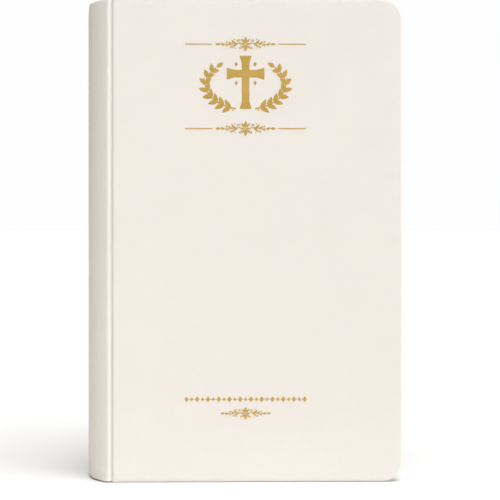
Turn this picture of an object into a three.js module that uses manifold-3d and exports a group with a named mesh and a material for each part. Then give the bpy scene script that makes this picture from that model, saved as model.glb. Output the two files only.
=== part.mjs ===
// A cased-in book of scripture that stands on its tail edge: padded covers over boards, a round spine,
// sewn signatures and gold stamping. Millimetres. +X runs from the spine to the fore-edge, +Y from the
// front cover to the back cover and +Z from the tail to the head. The origin is the middle of the base.
import * as THREE from "three";
import { mergeVertices } from "three/addons/utils/BufferGeometryUtils.js";
import Module from "manifold-3d";

// Driving dimensions
const HEIGHT = 216;
const WIDTH = 142;
const THICKNESS = 30;
const SQUARE = 3; // how far the covers stand out past the leaves
const CORNER_RADIUS = 9;
const SPINE_BULGE = 10.4; // from the ridge beside each joint to the middle of the round spine

// Covers, from the outside in
const SKIN = 0.6;
const GLUE = 0.1; // the glue line between two pieces
const BOARD = 1.9;
const TURN_IN = 0.4;
const TURN_IN_WIDTH = 12;
const PASTEDOWN = 0.2;
const PASTEDOWN_MARGIN = 4;
const PASTEDOWN_RADIUS = 5;
const PASTEDOWN_SETBACK = 0.5; // from where the cover's face starts
const GAUZE = 0.25;
const GAUZE_FLAP_WIDTH = 25;
const GAUZE_FLAP_SETBACK = 0.3;
const GAUZE_FLAP_END_GAP = 0.5; // to the turned-in margin
const PASTEDOWN_DIP_GAP = 0.3; // between the pastedown's dip and what stands round it
const ROLL_LAP = 0.5; // how far the skin's roll runs on into its face

// Joint between spine and cover
const RIDGE_RADIUS = 1.2;
const JOINT_HALF_WIDTH = 0.4;
const SEAM = 0.15; // half the gap between a cover and the spine skin

// Round spine, from the outside in
const INLAY = 0.7;
const INLAY_HALF_ANGLE = THREE.MathUtils.degToRad(63);
const HOLLOW = 0.5; // the hollow between the case and the lined block
const KRAFT = 0.25;
const THREAD = 0.25;
const LINING_HALF_ANGLE = THREE.MathUtils.degToRad(54);
const KRAFT_END_GAP = 0.5;
const GAUZE_END_GAP = 14;
const THREAD_HEIGHT = 1.2;
const THREAD_STATIONS = 5;
const THREAD_PITCH = 42;
const BAND_TAPE_HEIGHT = 12;
const BAND_BEAD = 1.5;

// Book block
const COVER_GAP = 0.2; // between a cover and its flyleaf
const FLYLEAF = 0.2;
const LEAF_GAP = 0.1;
const BUNDLE_GAP = 0.02;
const SIGNATURES = 20;
const FRONT_BUNDLES = [1 / 3, 1 / 3, 1 / 3, 1, 1, 1]; // in signatures, from the cover inwards
const BACK_BUNDLES = [1 / 3, 2 / 3, 1];
const GUTTER_SETBACK = 2.1; // from the cover's hinge axis to the axis that the leaves turn about
const LEAF_SETBACK = 0.2;

// Gold stamping on the front cover, each piece by the height of its middle
const FOIL = 0.08;
const STAMPING_X = 0.85; // the middle of the cover as seen, spine included
const EMBLEM_Z = 177.7;
const EMBLEM_HALF_WIDTH = 20.5;
const EMBLEM_HALF_HEIGHT = 12.8;
const SPRAY_BAND = 4;
const SPRAY_START = -0.45 * Math.PI; // the angles from +X between which a spray runs
const SPRAY_END = 0.25 * Math.PI;
const SPRAY_STEPS = 12;
const CROSS_FOOT = -11;
const CROSS_ARM_Z = 4.8;
const CROSS_HALF_SPAN = 8.4;
const CROSS_STEM = 1.7;
const CROSS_FLARE = 2.7;
const UPPER_ORNAMENT_Z = 195.7;
const LOWER_ORNAMENT_Z = 158;
const ORNAMENT_HALF_WIDTH = 13.5;
const ORNAMENT_HALF_HEIGHT = 3.5;
const ORNAMENT_WAIST = 0.35; // where its sides curve in, as a share of its half sizes
const RULE_END = 27;
const RULE_HALF_THICKNESS = 0.25;
const FOOTER_ROW_Z = 37.15;
const FOOTER_LOZENGES = 23;
const FOOTER_PITCH = 2.4;
const FOOTER_LOZENGE_HALF_WIDTH = 0.9;
const FOOTER_LOZENGE_HALF_HEIGHT = 1.35;
const FOOTER_ORNAMENT_Z = 30.85;
const FOOTER_ORNAMENT_HALF_WIDTH = 11.3;
const FOOTER_ORNAMENT_HALF_HEIGHT = 3;
const FOOTER_ORNAMENT_TIP = 0.5; // the rule's end past the flourish

// Worked out from the dimensions above
const FRONT_Y = -THICKNESS / 2;
const FORE_EDGE_X = WIDTH / 2;
const RIDGE_X = -WIDTH / 2 + SPINE_BULGE;
const RIDGE_Y = FRONT_Y + RIDGE_RADIUS;
const JOINT_X = RIDGE_X + RIDGE_RADIUS + JOINT_HALF_WIDTH;
const COVER_X = JOINT_X + JOINT_HALF_WIDTH + RIDGE_RADIUS;
const BOARD_Y = FRONT_Y + SKIN + GLUE;
const TURN_IN_Y = BOARD_Y + BOARD + GLUE;
const PASTEDOWN_Y = TURN_IN_Y + TURN_IN + GLUE;
const FLYLEAF_Y = PASTEDOWN_Y + PASTEDOWN + COVER_GAP;
const BLOCK_Y = FLYLEAF_Y + FLYLEAF + LEAF_GAP;
const SIGNATURE = (-2 * BLOCK_Y) / SIGNATURES;
const LEAVES_X = JOINT_X + GUTTER_SETBACK + LEAF_SETBACK;
const FOLD_X = JOINT_X + GUTTER_SETBACK - LEAF_SETBACK / 2;
const BLOCK_BASE = SQUARE;
const BLOCK_TOP = HEIGHT - SQUARE;

// The spine's arc touches the round ridge at each joint from the outside.
const SPINE_RADIUS =
  (SPINE_BULGE ** 2 + RIDGE_Y ** 2 - RIDGE_RADIUS ** 2) / (2 * (SPINE_BULGE - RIDGE_RADIUS));
const SPINE_X = -WIDTH / 2 + SPINE_RADIUS;
const RIDGE_ANGLE = Math.PI - Math.asin(-RIDGE_Y / (SPINE_RADIUS - RIDGE_RADIUS));
const INLAY_RADIUS = SPINE_RADIUS - SKIN - GLUE;
const KRAFT_RADIUS = INLAY_RADIUS - INLAY - HOLLOW;
const GAUZE_RADIUS = KRAFT_RADIUS - KRAFT - GLUE;
const THREAD_RADIUS = GAUZE_RADIUS - GAUZE - GLUE;
const BLOCK_RADIUS = THREAD_RADIUS - THREAD - GLUE;

// Every leaf has one width, so the round spine gives the fore-edge the same hollow curve.
const LEAF_WIDTH = FORE_EDGE_X - SQUARE - spineAt(BLOCK_Y);

const wasm = await Module();
wasm.setup();

const FINISHES = {
  skin: { color: 0xf1ebe3, roughness: 0.6, metalness: 0 },
  board: { color: 0x9c917f, roughness: 0.9, metalness: 0 },
  endpaper: { color: 0xf3eee2, roughness: 0.85, metalness: 0 },
  leaves: { color: 0xece6d8, roughness: 0.85, metalness: 0 },
  gauze: { color: 0xe8e2d2, roughness: 0.95, metalness: 0 },
  kraft: { color: 0xb9976a, roughness: 0.9, metalness: 0 },
  thread: { color: 0xf5f1e6, roughness: 0.9, metalness: 0 },
  band: { color: 0xe6d9b8, roughness: 0.8, metalness: 0 },
  foil: { color: 0xbd9c51, roughness: 0.35, metalness: 1 },
};

function piece(name, finish, geometry) {
  const mesh = new THREE.Mesh(geometry, new THREE.MeshStandardMaterial(FINISHES[finish]));
  mesh.name = name;
  return mesh;
}

// X of the block's round back at a depth y.
function spineAt(y) {
  return SPINE_X - Math.sqrt(BLOCK_RADIUS ** 2 - y ** 2);
}

// A shape drawn in X and Z, made solid from y0 towards +Y.
function plate(shape, y0, depth) {
  const geometry = new THREE.ExtrudeGeometry(shape, { depth, bevelEnabled: false, curveSegments: 6 });
  geometry.rotateX(Math.PI / 2);
  geometry.translate(0, y0 + depth, 0);
  return geometry;
}

// A shape drawn in X and Y, made solid from z0 upwards.
function prism(shape, z0, depth, curveSegments = 12) {
  const geometry = new THREE.ExtrudeGeometry(shape, { depth, bevelEnabled: false, curveSegments });
  geometry.translate(0, 0, z0);
  return geometry;
}

function solidOf(geometry) {
  const bare = geometry.clone();
  bare.deleteAttribute("normal");
  bare.deleteAttribute("uv");
  const merged = mergeVertices(bare);
  const vertProperties = merged.attributes.position.array;
  const triVerts = new Uint32Array(merged.index.array);
  return new wasm.Manifold(new wasm.Mesh({ numProp: 3, vertProperties, triVerts }));
}

function geometryOf(solid) {
  const { vertProperties, triVerts } = solid.getMesh();
  const geometry = new THREE.BufferGeometry();
  geometry.setAttribute("position", new THREE.BufferAttribute(vertProperties, 3));
  geometry.setIndex(new THREE.BufferAttribute(triVerts, 1));
  geometry.computeVertexNormals();
  return geometry;
}

function rectangle(x0, z0, x1, z1) {
  return new THREE.Shape([
    new THREE.Vector2(x0, z0),
    new THREE.Vector2(x1, z0),
    new THREE.Vector2(x1, z1),
    new THREE.Vector2(x0, z1),
  ]);
}

// A rectangle with its two fore-edge corners, at x1, rounded.
function panel(x0, z0, x1, z1, radius) {
  const shape = new THREE.Shape();
  shape.moveTo(x0, z0);
  shape.lineTo(x1 - radius, z0);
  shape.absarc(x1 - radius, z0 + radius, radius, -Math.PI / 2, 0, false);
  shape.lineTo(x1, z1 - radius);
  shape.absarc(x1 - radius, z1 - radius, radius, 0, Math.PI / 2, false);
  shape.lineTo(x0, z1);
  return shape;
}

// A panel whose head, tail and fore-edge lie a margin inside the cover's.
function insetPanel(x0, margin, radius) {
  return panel(x0, margin, FORE_EDGE_X - margin, HEIGHT - margin, radius);
}

// The strip of skin that rolls over the board's edge and down into the joint.
function coverRoll() {
  const inner = RIDGE_RADIUS - SKIN;
  const shape = new THREE.Shape();
  shape.moveTo(COVER_X + ROLL_LAP, FRONT_Y);
  shape.lineTo(COVER_X, FRONT_Y);
  shape.absarc(COVER_X, RIDGE_Y, RIDGE_RADIUS, -Math.PI / 2, -Math.PI, true);
  shape.lineTo(JOINT_X + SEAM, RIDGE_Y);
  shape.lineTo(JOINT_X + SEAM, RIDGE_Y + SKIN);
  shape.lineTo(COVER_X - inner, RIDGE_Y + SKIN);
  shape.lineTo(COVER_X - inner, RIDGE_Y);
  shape.absarc(COVER_X, RIDGE_Y, inner, Math.PI, 1.5 * Math.PI, false);
  shape.lineTo(COVER_X + ROLL_LAP, FRONT_Y + SKIN);
  return prism(shape, 0, HEIGHT, 4);
}

// The skin of one cover: its face, the wrap round the board's edges and the turned-in margin. It is
// open towards the joint and inside the turned-in margin, so both cuts run past its surfaces.
function coverSkin() {
  const open = COVER_X - RIDGE_RADIUS;
  const face = plate(insetPanel(COVER_X, 0, CORNER_RADIUS), FRONT_Y, TURN_IN_Y + TURN_IN - FRONT_Y);
  const pocket = plate(
    insetPanel(open, SKIN, CORNER_RADIUS - SKIN), FRONT_Y + SKIN, TURN_IN_Y - FRONT_Y - SKIN);
  const window = plate(
    rectangle(open, TURN_IN_WIDTH, FORE_EDGE_X - TURN_IN_WIDTH, HEIGHT - TURN_IN_WIDTH),
    TURN_IN_Y - TURN_IN, 3 * TURN_IN);
  const tray = solidOf(face).subtract(solidOf(pocket)).subtract(solidOf(window));
  return geometryOf(tray.add(solidOf(coverRoll())));
}

function coverBoard() {
  const margin = SKIN + GLUE;
  return plate(insetPanel(COVER_X + GLUE, margin, CORNER_RADIUS - margin), BOARD_Y, BOARD);
}

function gauzeFlap() {
  const margin = TURN_IN_WIDTH + GAUZE_FLAP_END_GAP;
  const left = COVER_X + GAUZE_FLAP_SETBACK;
  return plate(rectangle(left, margin, left + GAUZE_FLAP_WIDTH, HEIGHT - margin), TURN_IN_Y, GAUZE);
}

// The glued endpaper lies on the turned-in margin and dips into the window inside it.
function pastedown() {
  const sheet = plate(
    insetPanel(COVER_X + PASTEDOWN_SETBACK, PASTEDOWN_MARGIN, PASTEDOWN_RADIUS),
    PASTEDOWN_Y, PASTEDOWN);
  const margin = TURN_IN_WIDTH + PASTEDOWN_DIP_GAP;
  const left = COVER_X + GAUZE_FLAP_SETBACK + GAUZE_FLAP_WIDTH + PASTEDOWN_DIP_GAP;
  const dip = plate(
    rectangle(left, margin, FORE_EDGE_X - margin, HEIGHT - margin),
    TURN_IN_Y, PASTEDOWN_Y - TURN_IN_Y + PASTEDOWN / 2);
  return geometryOf(solidOf(sheet).add(solidOf(dip)));
}

function coverPieces(side) {
  const group = new THREE.Group();
  group.add(piece(`${side}_cover_skin`, "skin", coverSkin()));
  group.add(piece(`${side}_board`, "board", coverBoard()));
  group.add(piece(`${side}_gauze_flap`, "gauze", gauzeFlap()));
  group.add(piece(`${side}_pastedown`, "endpaper", pastedown()));
  return group;
}

// The skin over the round spine, with a ridge beside each joint and the joint's bottom.
function spineSkin() {
  const inner = RIDGE_RADIUS - SKIN;
  const shape = new THREE.Shape();
  shape.moveTo(JOINT_X - SEAM, RIDGE_Y);
  shape.lineTo(RIDGE_X + RIDGE_RADIUS, RIDGE_Y);
  shape.absarc(RIDGE_X, RIDGE_Y, RIDGE_RADIUS, 0, -RIDGE_ANGLE, true);
  shape.absarc(SPINE_X, 0, SPINE_RADIUS, -RIDGE_ANGLE, RIDGE_ANGLE - 2 * Math.PI, true);
  shape.absarc(RIDGE_X, -RIDGE_Y, RIDGE_RADIUS, RIDGE_ANGLE, 0, true);
  shape.lineTo(JOINT_X - SEAM, -RIDGE_Y);
  shape.lineTo(JOINT_X - SEAM, -RIDGE_Y - SKIN);
  shape.lineTo(RIDGE_X + inner, -RIDGE_Y - SKIN);
  shape.lineTo(RIDGE_X + inner, -RIDGE_Y);
  shape.absarc(RIDGE_X, -RIDGE_Y, inner, 0, RIDGE_ANGLE, false);
  shape.absarc(SPINE_X, 0, SPINE_RADIUS - SKIN, RIDGE_ANGLE, 2 * Math.PI - RIDGE_ANGLE, false);
  shape.absarc(RIDGE_X, RIDGE_Y, inner, -RIDGE_ANGLE, 0, false);
  shape.lineTo(RIDGE_X + inner, RIDGE_Y + SKIN);
  shape.lineTo(JOINT_X - SEAM, RIDGE_Y + SKIN);
  return prism(shape, 0, HEIGHT, 8);
}

// A layer bent round the spine: its outer radius, thickness and half angle, from z0 up.
function spineLayer(radius, thickness, halfAngle, z0, height) {
  const shape = new THREE.Shape();
  shape.absarc(SPINE_X, 0, radius, Math.PI - halfAngle, Math.PI + halfAngle, false);
  shape.absarc(SPINE_X, 0, radius - thickness, Math.PI + halfAngle, Math.PI - halfAngle, true);
  return prism(shape, z0, height);
}

function spineInlay() {
  const margin = SKIN + GLUE;
  return spineLayer(INLAY_RADIUS, INLAY, INLAY_HALF_ANGLE, margin, HEIGHT - 2 * margin);
}

function blockLayer(radius, thickness, endGap) {
  const height = BLOCK_TOP - BLOCK_BASE - 2 * endGap;
  return spineLayer(radius, thickness, LINING_HALF_ANGLE, BLOCK_BASE + endGap, height);
}

// A cloth band: a tape glued to the back of the block, with a bead that stands on the leaves' edge.
function clothBand(tapeBase, beadBase) {
  const tape = spineLayer(GAUZE_RADIUS, GAUZE, LINING_HALF_ANGLE, tapeBase, BAND_TAPE_HEIGHT);
  const bead = spineLayer(GAUZE_RADIUS, BAND_BEAD, LINING_HALF_ANGLE, beadBase, BAND_BEAD);
  return geometryOf(solidOf(tape).add(solidOf(bead)));
}

function spinePieces() {
  const group = new THREE.Group();
  group.add(piece("spine_cover_skin", "skin", spineSkin()));
  group.add(piece("spine_inlay", "board", spineInlay()));
  group.add(piece("kraft_spine_lining", "kraft", blockLayer(KRAFT_RADIUS, KRAFT, KRAFT_END_GAP)));
  group.add(piece("spine_gauze", "gauze", blockLayer(GAUZE_RADIUS, GAUZE, GAUZE_END_GAP)));
  group.add(piece("headband", "band", clothBand(BLOCK_TOP - BAND_TAPE_HEIGHT, BLOCK_TOP)));
  group.add(piece("tailband", "band", clothBand(BLOCK_BASE, BLOCK_BASE - BAND_BEAD)));
  for (let i = 0; i < THREAD_STATIONS; i++) {
    const z = HEIGHT / 2 + (i - (THREAD_STATIONS - 1) / 2) * THREAD_PITCH;
    const band = spineLayer(
      THREAD_RADIUS, THREAD, LINING_HALF_ANGLE, z - THREAD_HEIGHT / 2, THREAD_HEIGHT);
    group.add(piece(`sewing_thread_${i + 1}`, "thread", band));
  }
  return group;
}

// Leaves between two depths. leftAt gives X of their spine side at each depth; the fore-edge follows
// the hollow curve.
function leafStack(leftAt, y0, y1) {
  const radius = CORNER_RADIUS - SQUARE;
  const geometry = plate(panel(0, BLOCK_BASE, LEAF_WIDTH, BLOCK_TOP, radius), y0, y1 - y0);
  const position = geometry.attributes.position;
  for (let i = 0; i < position.count; i++) {
    const x = position.getX(i);
    const y = position.getY(i);
    position.setX(i, x < LEAF_WIDTH / 2 ? leftAt(y) : x + spineAt(y));
  }
  return geometry;
}

function leavesX() {
  return LEAVES_X;
}

// The part of a signature that stays in the spine while its leaves turn.
function sewnFold(y0, y1) {
  const shape = new THREE.Shape([
    new THREE.Vector2(spineAt(y0), y0),
    new THREE.Vector2(FOLD_X, y0),
    new THREE.Vector2(FOLD_X, y1),
    new THREE.Vector2(spineAt(y1), y1),
  ]);
  return prism(shape, BLOCK_BASE, BLOCK_TOP - BLOCK_BASE);
}

function signatureName(i) {
  return `signature_${String(i + 1).padStart(2, "0")}`;
}

// The signatures that don't open stay whole; those at the front and the back show as a fold here.
function signaturePieces() {
  const group = new THREE.Group();
  const opening = (bundles) => Math.round(bundles.reduce((sum, share) => sum + share, 0));
  const firstWhole = opening(FRONT_BUNDLES);
  const lastWhole = SIGNATURES - opening(BACK_BUNDLES) - 1;
  for (let i = 0; i < SIGNATURES; i++) {
    const y0 = BLOCK_Y + i * SIGNATURE;
    const y1 = BLOCK_Y + (i + 1) * SIGNATURE;
    const whole = i >= firstWhole && i <= lastWhole;
    group.add(
      whole
        ? piece(signatureName(i), "leaves", leafStack(spineAt, y0, y1))
        : piece(`${signatureName(i)}_fold`, "leaves", sewnFold(y0, y1)));
  }
  return group;
}

// The flyleaf and the bundles of leaves that turn with one cover.
function turningLeaves(side, bundles) {
  const group = new THREE.Group();
  const flyleaf = leafStack(leavesX, FLYLEAF_Y, FLYLEAF_Y + FLYLEAF);
  group.add(piece(`${side}_flyleaf`, "endpaper", flyleaf));
  let y = BLOCK_Y;
  bundles.forEach((share, i) => {
    const next = y + share * SIGNATURE;
    group.add(piece(`${side}_leaves_${i + 1}`, "leaves", leafStack(leavesX, y, next - BUNDLE_GAP)));
    y = next;
  });
  return group;
}

// A Latin cross with flared ends. Stamped shapes are drawn with their middle at x = 0.
function crossShape() {
  const right = [
    [CROSS_FLARE, CROSS_FOOT],
    [CROSS_STEM, CROSS_ARM_Z - CROSS_STEM],
    [CROSS_HALF_SPAN, CROSS_ARM_Z - CROSS_FLARE],
    [CROSS_HALF_SPAN, CROSS_ARM_Z + CROSS_FLARE],
    [CROSS_STEM, CROSS_ARM_Z + CROSS_STEM],
    [CROSS_FLARE, EMBLEM_HALF_HEIGHT],
  ];
  const left = right.map(([x, z]) => [-x, z]).reverse();
  return new THREE.Shape([...right, ...left].map(([x, z]) => new THREE.Vector2(x, EMBLEM_Z + z)));
}

// A curved band beside the cross, from below its foot to the height of its head.
function sprayShape(side) {
  const edge = (inset) =>
    Array.from({ length: SPRAY_STEPS + 1 }, (_, i) => {
      const angle = SPRAY_START + ((SPRAY_END - SPRAY_START) * i) / SPRAY_STEPS;
      return new THREE.Vector2(
        side * (EMBLEM_HALF_WIDTH - inset) * Math.cos(angle),
        EMBLEM_Z + (EMBLEM_HALF_HEIGHT - inset) * Math.sin(angle));
    });
  return new THREE.Shape([...edge(0), ...edge(SPRAY_BAND).reverse()]);
}

// A four-pointed flourish whose sides curve in, on a rule that runs on to ruleEnd at each side.
function flourishShape(z, halfWidth, halfHeight, ruleEnd) {
  const thin = RULE_HALF_THICKNESS;
  const waistX = ORNAMENT_WAIST * halfWidth;
  const waistZ = ORNAMENT_WAIST * halfHeight;
  const shape = new THREE.Shape();
  shape.moveTo(-ruleEnd, z - thin);
  shape.lineTo(-halfWidth, z - thin);
  shape.quadraticCurveTo(-waistX, z - waistZ, 0, z - halfHeight);
  shape.quadraticCurveTo(waistX, z - waistZ, halfWidth, z - thin);
  shape.lineTo(ruleEnd, z - thin);
  shape.lineTo(ruleEnd, z + thin);
  shape.lineTo(halfWidth, z + thin);
  shape.quadraticCurveTo(waistX, z + waistZ, 0, z + halfHeight);
  shape.quadraticCurveTo(-waistX, z + waistZ, -halfWidth, z + thin);
  shape.lineTo(-ruleEnd, z + thin);
  return shape;
}

// A row of lozenges strung on a thin line.
function lozengeRowShape() {
  const thin = RULE_HALF_THICKNESS;
  const lower = [];
  for (let i = 0; i < FOOTER_LOZENGES; i++) {
    const x = (i - (FOOTER_LOZENGES - 1) / 2) * FOOTER_PITCH;
    lower.push(
      [x - FOOTER_LOZENGE_HALF_WIDTH, -thin], [x, -FOOTER_LOZENGE_HALF_HEIGHT],
      [x + FOOTER_LOZENGE_HALF_WIDTH, -thin]);
  }
  const upper = lower.map(([x, z]) => [x, -z]).reverse();
  return new THREE.Shape(
    [...lower, ...upper].map(([x, z]) => new THREE.Vector2(x, FOOTER_ROW_Z + z)));
}

function foil(name, shape) {
  const geometry = plate(shape, FRONT_Y - FOIL, FOIL);
  geometry.translate(STAMPING_X, 0, 0);
  return piece(name, "foil", geometry);
}

function stampingPieces() {
  const group = new THREE.Group();
  const ornament = (z) => flourishShape(z, ORNAMENT_HALF_WIDTH, ORNAMENT_HALF_HEIGHT, RULE_END);
  group.add(foil("foil_cross", crossShape()));
  group.add(foil("foil_left_spray", sprayShape(-1)));
  group.add(foil("foil_right_spray", sprayShape(1)));
  group.add(foil("foil_upper_ornament", ornament(UPPER_ORNAMENT_Z)));
  group.add(foil("foil_lower_ornament", ornament(LOWER_ORNAMENT_Z)));
  group.add(foil("foil_footer_row", lozengeRowShape()));
  group.add(
    foil(
      "foil_footer_ornament",
      flourishShape(
        FOOTER_ORNAMENT_Z, FOOTER_ORNAMENT_HALF_WIDTH, FOOTER_ORNAMENT_HALF_HEIGHT,
        FOOTER_ORNAMENT_HALF_WIDTH + FOOTER_ORNAMENT_TIP)));
  return group;
}

// The back half of the book mirrors the front half.
function mirrored(group) {
  group.scale.y = -1;
  return group;
}

const group = new THREE.Group();
group.add(coverPieces("front"));
group.add(mirrored(coverPieces("back")));
group.add(spinePieces());
group.add(signaturePieces());
group.add(turningLeaves("front", FRONT_BUNDLES));
group.add(mirrored(turningLeaves("back", BACK_BUNDLES)));
group.add(stampingPieces());

export default group;
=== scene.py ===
"""A closed gift bible in ivory imitation leather, standing on its tail edge. Lengths here are in
millimetres, in the CAD frame, and become metres when a mesh is made."""
import math
import random
from collections import Counter

import bpy
import numpy as np
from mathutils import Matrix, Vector


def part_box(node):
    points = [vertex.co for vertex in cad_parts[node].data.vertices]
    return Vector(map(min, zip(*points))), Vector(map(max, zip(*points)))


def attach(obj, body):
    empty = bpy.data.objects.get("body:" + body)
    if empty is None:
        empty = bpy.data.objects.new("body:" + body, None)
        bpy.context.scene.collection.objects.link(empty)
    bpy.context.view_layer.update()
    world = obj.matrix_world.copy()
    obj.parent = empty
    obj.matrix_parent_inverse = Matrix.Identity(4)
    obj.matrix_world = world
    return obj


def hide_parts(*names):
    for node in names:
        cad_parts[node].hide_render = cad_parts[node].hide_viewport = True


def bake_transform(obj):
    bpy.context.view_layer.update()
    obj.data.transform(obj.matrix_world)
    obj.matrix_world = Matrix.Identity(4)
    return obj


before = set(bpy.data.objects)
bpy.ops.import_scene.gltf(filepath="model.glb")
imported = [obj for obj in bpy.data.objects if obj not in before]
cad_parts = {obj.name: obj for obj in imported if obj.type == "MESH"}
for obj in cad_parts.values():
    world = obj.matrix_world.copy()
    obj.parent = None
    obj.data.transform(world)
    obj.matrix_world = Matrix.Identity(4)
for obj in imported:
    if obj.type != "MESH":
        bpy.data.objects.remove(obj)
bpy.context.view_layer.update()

MM = 0.001


def box_mm(node):
    """A node's lowest and highest corners, in millimetres."""
    return [np.array(corner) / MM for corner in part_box(node)]


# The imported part's own sizes
COVER_LO, COVER_HI = box_mm("front_cover_skin")
LEAVES_LO, LEAVES_HI = box_mm("front_leaves_1")
FLY_LO, FLY_HI = box_mm("front_flyleaf")
PASTE_LO, PASTE_HI = box_mm("front_pastedown")
SPINE_LEFT, BLOCK_LEFT, BAND_LEFT = (
    box_mm(node)[0][0] for node in ("spine_cover_skin", "signature_12", "headband"))
HEIGHT = COVER_HI[2]
FORE_X = COVER_HI[0]
FRONT_Y = COVER_LO[1]
INNER_Y = COVER_HI[1]
BLOCK_Y = LEAVES_LO[1]

# Sizes repeated from the part's source
SPINE_BULGE = 10.4
RIDGE_RADIUS = 1.2
JOINT_WIDTH = 3.2  # from the ridge's top to where the cover's face starts
SKIN = 0.6
CORNER_RADIUS = 9
PASTE_RADIUS = 5
LEAF_RADIUS = 6
TURN_IN_WIDTH = 12
SIGNATURES = 20
FRONT_SHARES = [1 / 3, 1 / 3, 1 / 3, 1, 1, 1]  # the turning bundles, in signatures
BACK_SHARES = [1 / 3, 2 / 3, 1]
BUNDLE_GAP = 0.02
BAND_HALF_ANGLE = math.radians(54)
BAND_TAPE_HEIGHT = 12
STAMPING_X = 0.85
EMBLEM_Z, UPPER_Z, LOWER_Z, FOOTER_Z, TAILPIECE_Z = 177.7, 195.7, 158.0, 37.15, 30.85
ORNAMENT_HALF_SIZE = (13.5, 3.5)
TAILPIECE_HALF_SIZE = (11.3, 3.0)
RULE_END = 27
FOOTER_LOZENGES = 23
FOOTER_PITCH = 2.4

RIDGE_X = SPINE_LEFT + SPINE_BULGE
RIDGE_Y = FRONT_Y + RIDGE_RADIUS
COVER_X = RIDGE_X + JOINT_WIDTH
SPINE_RADIUS = (
    (SPINE_BULGE**2 + RIDGE_Y**2 - RIDGE_RADIUS**2) / (2 * (SPINE_BULGE - RIDGE_RADIUS)))
SPINE_X = SPINE_LEFT + SPINE_RADIUS
SEAM_ANGLE = math.asin(-RIDGE_Y / (SPINE_RADIUS - RIDGE_RADIUS))
BLOCK_RADIUS = SPINE_X - BLOCK_LEFT
SIGNATURE = -2 * BLOCK_Y / SIGNATURES
LEAF_WIDTH = LEAVES_HI[0] - (SPINE_X - math.sqrt(BLOCK_RADIUS**2 - BLOCK_Y**2))

rng = random.Random(7)


# Meshes

def smoothstep(low, high, value):
    t = np.clip((np.asarray(value, float) - low) / (high - low), 0, 1)
    return t * t * (3 - 2 * t)


def add_mesh(name, points, faces, materials, uv=None, material_of=None, sharp=50):
    """points and uv are in millimetres. An edge that turns by more than sharp degrees is crisp."""
    mesh = bpy.data.meshes.new(name)
    mesh.from_pydata((np.asarray(points) * MM).tolist(), [], faces)
    for material in materials:
        mesh.materials.append(material)
    if material_of is not None:
        mesh.polygons.foreach_set("material_index", material_of)
    if uv is not None:
        layer = mesh.uv_layers.new(name="UVMap")
        corners = np.zeros(len(mesh.loops), np.int32)
        mesh.loops.foreach_get("vertex_index", corners)
        layer.data.foreach_set("uv", (np.asarray(uv)[corners] * MM).astype(np.float32).ravel())
    mesh.polygons.foreach_set("use_smooth", [True] * len(mesh.polygons))
    mesh.set_sharp_from_angle(angle=math.radians(sharp))
    mesh.update()
    made = bpy.data.objects.new(name, mesh)
    bpy.context.scene.collection.objects.link(made)
    return made


class Sheet:
    """A flat sheet in (u, z), as welded points with each one's distance from the rim and the
    rim's outward direction there."""

    def __init__(self):
        self.rows, self.index, self.faces = [], {}, []

    def at(self, u, z, d, nu, nz):
        key = (round(float(u), 5), round(float(z), 5))
        if key not in self.index:
            self.index[key] = len(self.rows)
            self.rows.append((u, z, d, nu, nz))
        return self.index[key]

    def patch(self, rows):
        for low, high in zip(rows, rows[1:]):
            for i in range(len(low) - 1):
                face = list(dict.fromkeys([low[i], low[i + 1], high[i + 1], high[i]]))
                if len(face) > 2:
                    self.faces.append(face)

    def columns(self):
        return np.array(self.rows, float).T


def rounded_sheet(us, zs, radius, rings, step=15):
    """The columns end and the rows start and end where the two round corners do. rings are
    distances from a corner's centre, from 0 to its radius."""
    sheet = Sheet()
    u, low, high = us[-1], zs[0], zs[-1]
    inside = 10 * radius  # further in than any round of a rim reaches
    sheet.patch([[sheet.at(a, z, inside, 0, 0) for a in us] for z in zs])
    sheet.patch([[sheet.at(a, high + r, radius - r, 0, 1) for a in us] for r in rings])
    sheet.patch([[sheet.at(a, low - r, radius - r, 0, -1) for a in us] for r in rings[::-1]])
    sheet.patch([[sheet.at(u + r, z, radius - r, 1, 0) for r in rings] for z in zs])
    for middle, first in ((high, 0), (low, -90)):
        rows = []
        for angle in np.radians(np.arange(first, first + 91, step)):
            c, s = math.cos(angle), math.sin(angle)
            rows.append([sheet.at(u + r * c, middle + r * s, radius - r, c, s) for r in rings])
        sheet.patch(rows)
    return sheet


def plain_sheet(us, zs):
    """A sheet with a rim at its lowest and highest rows."""
    sheet = Sheet()
    low, high = zs[0], zs[-1]
    middle = (low + high) / 2
    rows = []
    for z in zs:
        d = min(z - low, high - z)
        rows.append([sheet.at(u, z, d, 0, math.copysign(1, z - middle)) for u in us])
    sheet.patch(rows)
    return sheet


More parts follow.
